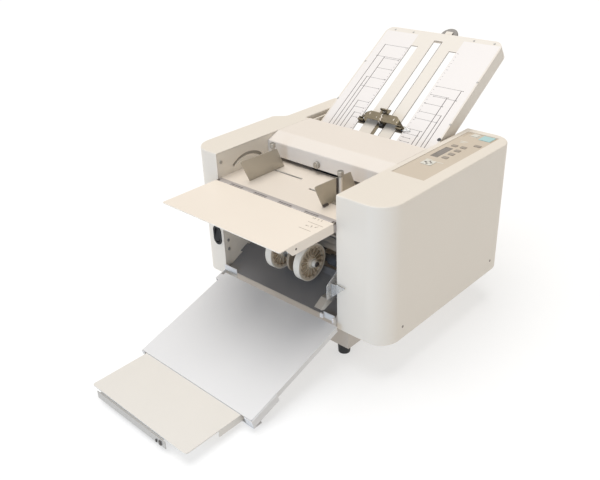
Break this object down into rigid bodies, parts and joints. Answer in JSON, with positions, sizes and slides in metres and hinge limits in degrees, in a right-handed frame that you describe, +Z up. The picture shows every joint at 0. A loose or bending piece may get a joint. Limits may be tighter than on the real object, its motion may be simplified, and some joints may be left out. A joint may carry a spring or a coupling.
{
  "type": "paper folding machine",
  "caption": "Desktop friction-feed paper folder with front feed table, side guides, roller drive, slotted fold plates with sliding stops, and a folding delivery ramp.",
  "frame": {"origin": "middle of the bounding box at floor level, under the feet", "axes": "+X to the operator's right (control panel side), +Y the way sheets feed, +Z up"},
  "size_m": [0.52, 1.0048, 0.5478],
  "materials": {
    "cream": "satin cream paint",
    "case_cream": "fine-textured cream moulding",
    "frame_cream": "satin cream paint",
    "tan_panel": "flat tan panel",
    "grey_key": "grey-brown key",
    "display_glass": "smoked window",
    "cyan_key": "pale cyan key",
    "pale_key": "pale grey key",
    "green_board": "printed board",
    "black_plastic": "black moulding",
    "foot_rubber": "black rubber",
    "zinc": "zinc-plated sheet",
    "bright_steel": "ground steel",
    "guide_steel": "brushed sheet",
    "bronze_bush": "sintered bronze",
    "base_metal": "grey-brown painted sheet",
    "ramp_grey": "light grey paint",
    "chute_grey": "dark grey paint",
    "roller_rubber": "dark grey rubber",
    "roller_steel": "knurled steel and rubber",
    "wheel_white": "white moulding",
    "belt_black": "belt",
    "motor_grey": "motor can",
    "clear_plastic": "clear acrylic",
    "bronze_steel": "bronze-tinted plated steel",
    "plate_white": "printed white plate"
  },
  "bodies": {
    "machine": {"base_tray": "base_metal", "feet": "foot_rubber", "left_frame": "frame_cream", "right_frame": "frame_cream", "tie_bars": "zinc", "frame_pins": "zinc", "bearing_bushes": "bronze_bush", "right_case": "case_cream", "left_case": "case_cream", "control_panel": "tan_panel", "display_window": "display_glass", "key_board": "green_board", "switch_bezel": "black_plastic", "power_inlet": "black_plastic", "feed_table": "cream", "flap_hinge_pin": "zinc", "separator_block": "black_plastic", "drive_motor": "motor_grey", "drive_belt": "belt_black", "paper_guides": "zinc", "chute_plate": "chute_grey", "clear_guide": "clear_plastic"},
    "start_key": {"start_key": "cyan_key"},
    "stop_key": {"stop_key": "pale_key"},
    "test_key": {"test_key": "grey_key"},
    "arrow_key": {"arrow_key": "pale_key"},
    "set_key_1": {"set_key_1": "grey_key"},
    "set_key_2": {"set_key_2": "grey_key"},
    "set_key_3": {"set_key_3": "grey_key"},
    "set_key_4": {"set_key_4": "grey_key"},
    "set_key_5": {"set_key_5": "grey_key"},
    "rocker": {"power_rocker": "black_plastic"},
    "flap": {"front_flap": "cream"},
    "left_guide": {"left_guide": "guide_steel"},
    "right_guide": {"right_guide": "guide_steel"},
    "left_guide_knob": {"left_guide_knob": "bright_steel"},
    "right_guide_knob": {"right_guide_knob": "bright_steel"},
    "cover": {"top_cover": "case_cream"},
    "cover_knob": {"cover_knob": "case_cream"},
    "feed_roller": {"feed_roller": "roller_rubber"},
    "roller_1": {"fold_roller_1": "roller_steel"},
    "roller_2": {"fold_roller_2": "roller_steel"},
    "roller_3": {"fold_roller_3": "roller_steel"},
    "roller_4": {"fold_roller_4": "roller_steel"},
    "exit_roller": {"exit_roller": "roller_rubber"},
    "motor_shaft": {"motor_pulley": "bright_steel"},
    "stacker_arm": {"stacker_arm": "zinc"},
    "stacker_wheels": {"stacker_wheels": "wheel_white"},
    "ramp": {"ramp_tray": "ramp_grey", "ramp_bracket": "ramp_grey"},
    "extension": {"extension_tray": "ramp_grey"},
    "stopper": {"stopper_bar": "zinc"},
    "plate_1": {"fold_plate_1_top": "plate_white", "fold_plate_1_bottom": "plate_white"},
    "stop_1": {"fold_stop_1": "bronze_steel", "stop_feet_1": "foot_rubber"},
    "stop_screw": {"stop_screw_1": "bright_steel"},
    "skew_knob": {"skew_knob": "black_plastic"},
    "plate_2": {"fold_plate_2": "plate_white"},
    "stop_2": {"fold_stop_2": "zinc"}
  },
  "joints": [
    {"name": "cover_hinge", "type": "hinge", "parent": "machine", "child": "cover", "pos_m": [-0.01775, 0.16768, 0.368], "axis": [-1, 0, 0], "range_deg": [0, 75]},
    {"name": "flap_hinge", "type": "hinge", "parent": "machine", "child": "flap", "pos_m": [-0.01775, -0.11682, 0.3213], "axis": [-1, 0, 0], "range_deg": [0, 90]},
    {"name": "left_guide_slide", "type": "slide", "parent": "machine", "child": "left_guide", "axis": [1, 0, 0], "range_m": [-0.03, 0.065]},
    {"name": "left_guide_screw", "type": "hinge", "parent": "left_guide", "child": "left_guide_knob", "pos_m": [-0.12305, -0.00532, 0.3755], "axis": [0, 0, 1], "continuous": true},
    {"name": "right_guide_slide", "type": "slide", "parent": "machine", "child": "right_guide", "axis": [-1, 0, 0], "range_m": [-0.03, 0.065]},
    {"name": "right_guide_screw", "type": "hinge", "parent": "right_guide", "child": "right_guide_knob", "pos_m": [0.08755, -0.03232, 0.3755], "axis": [0, 0, 1], "continuous": true},
    {"name": "cover_screw", "type": "hinge", "parent": "cover", "child": "cover_knob", "pos_m": [-0.034, 0.03768, 0.344], "axis": [0, 1, 0], "continuous": true},
    {"name": "feed_roller_spin", "type": "hinge", "parent": "machine", "child": "feed_roller", "pos_m": [-0.01775, 0.06568, 0.346], "axis": [1, 0, 0], "continuous": true},
    {"name": "roller_2_spin", "type": "hinge", "parent": "machine", "child": "roller_2", "pos_m": [-0.01775, 0.11368, 0.3077], "axis": [1, 0, 0], "continuous": true},
    {"name": "roller_1_spin", "type": "hinge", "parent": "machine", "child": "roller_1", "pos_m": [-0.01775, 0.11368, 0.3443], "axis": [1, 0, 0], "continuous": true},
    {"name": "roller_3_spin", "type": "hinge", "parent": "machine", "child": "roller_3", "pos_m": [-0.01775, 0.15028, 0.3077], "axis": [1, 0, 0], "continuous": true},
    {"name": "roller_4_spin", "type": "hinge", "parent": "machine", "child": "roller_4", "pos_m": [-0.01775, 0.11368, 0.2711], "axis": [1, 0, 0], "continuous": true},
    {"name": "exit_roller_spin", "type": "hinge", "parent": "machine", "child": "exit_roller", "pos_m": [-0.01775, -0.01932, 0.17], "axis": [1, 0, 0], "continuous": true},
    {"name": "motor_spin", "type": "hinge", "parent": "machine", "child": "motor_shaft", "pos_m": [-0.01775, 0.12568, 0.112], "axis": [1, 0, 0], "continuous": true},
    {"name": "stacker_arm_swing", "type": "hinge", "parent": "machine", "child": "stacker_arm", "pos_m": [-0.002, -0.01032, 0.222], "axis": [-1, 0, 0], "range_deg": [0, 25]},
    {"name": "stacker_wheel_spin", "type": "hinge", "parent": "stacker_arm", "child": "stacker_wheels", "pos_m": [-0.002, -0.07432, 0.185], "axis": [1, 0, 0], "continuous": true},
    {"name": "ramp_fold", "type": "hinge", "parent": "machine", "child": "ramp", "pos_m": [-0.01775, -0.10632, 0.108], "axis": [-1, 0, 0], "range_deg": [0, 45]},
    {"name": "extension_slide", "type": "slide", "parent": "ramp", "child": "extension", "axis": [0, 1, 0], "range_m": [-0.025, 0.11]},
    {"name": "stopper_slide", "type": "slide", "parent": "extension", "child": "stopper", "axis": [0, -1, 0], "range_m": [0, 0.055]},
    {"name": "fold_plate_1_lift", "type": "slide", "parent": "machine", "child": "plate_1", "axis": [0, 0.8332, 0.553], "range_m": [0, 0.25]},
    {"name": "fold_stop_1_slide", "type": "slide", "parent": "plate_1", "child": "stop_1", "axis": [0, 0.8332, 0.553], "range_m": [-0.015, 0.22]},
    {"name": "stop_screw_turn", "type": "hinge", "parent": "stop_1", "child": "stop_screw", "pos_m": [-0.01775, 0.25694, 0.39503], "axis": [0, -0.553, 0.8332], "continuous": true},
    {"name": "skew_turn", "type": "hinge", "parent": "plate_1", "child": "skew_knob", "pos_m": [-0.00875, 0.47691, 0.54101], "axis": [0, -0.553, 0.8332], "range_deg": [-60, 60]},
    {"name": "fold_plate_2_pull", "type": "slide", "parent": "machine", "child": "plate_2", "axis": [0, 0.788, -0.6157], "range_m": [0, 0.2]},
    {"name": "fold_stop_2_slide", "type": "slide", "parent": "plate_2", "child": "stop_2", "axis": [0, 0.788, -0.6157], "range_m": [-0.14, 0.04]},
    {"name": "power_switch_rock", "type": "hinge", "parent": "machine", "child": "rocker", "pos_m": [-0.1995, -0.10912, 0.184], "axis": [1, 0, 0], "range_deg": [0, 14]},
    {"name": "start_key_press", "type": "slide", "parent": "machine", "child": "start_key", "axis": [0, 0, -1], "range_m": [0, 0.001], "stiffness_N_per_m": 250, "springref_m": -0.001},
    {"name": "stop_key_press", "type": "slide", "parent": "machine", "child": "stop_key", "axis": [0, 0, -1], "range_m": [0, 0.001], "stiffness_N_per_m": 250, "springref_m": -0.001},
    {"name": "test_key_press", "type": "slide", "parent": "machine", "child": "test_key", "axis": [0, 0, -1], "range_m": [0, 0.001], "stiffness_N_per_m": 250, "springref_m": -0.001},
    {"name": "arrow_key_press", "type": "slide", "parent": "machine", "child": "arrow_key", "axis": [0, 0, -1], "range_m": [0, 0.001], "stiffness_N_per_m": 250, "springref_m": -0.001},
    {"name": "set_key_1_press", "type": "slide", "parent": "machine", "child": "set_key_1", "axis": [0, 0, -1], "range_m": [0, 0.001], "stiffness_N_per_m": 250, "springref_m": -0.001},
    {"name": "set_key_2_press", "type": "slide", "parent": "machine", "child": "set_key_2", "axis": [0, 0, -1], "range_m": [0, 0.001], "stiffness_N_per_m": 250, "springref_m": -0.001},
    {"name": "set_key_3_press", "type": "slide", "parent": "machine", "child": "set_key_3", "axis": [0, 0, -1], "range_m": [0, 0.001], "stiffness_N_per_m": 250, "springref_m": -0.001},
    {"name": "set_key_4_press", "type": "slide", "parent": "machine", "child": "set_key_4", "axis": [0, 0, -1], "range_m": [0, 0.001], "stiffness_N_per_m": 250, "springref_m": -0.001},
    {"name": "set_key_5_press", "type": "slide", "parent": "machine", "child": "set_key_5", "axis": [0, 0, -1], "range_m": [0, 0.001], "stiffness_N_per_m": 250, "springref_m": -0.001}
  ],
  "couplings": [
    {"joint": "roller_1_spin", "follows": "roller_2_spin", "ratio": -1},
    {"joint": "roller_3_spin", "follows": "roller_2_spin", "ratio": -1},
    {"joint": "roller_4_spin", "follows": "roller_2_spin", "ratio": -1},
    {"joint": "exit_roller_spin", "follows": "roller_2_spin", "ratio": -1.5},
    {"joint": "motor_spin", "follows": "roller_2_spin", "ratio": 2.5455}
  ]
}
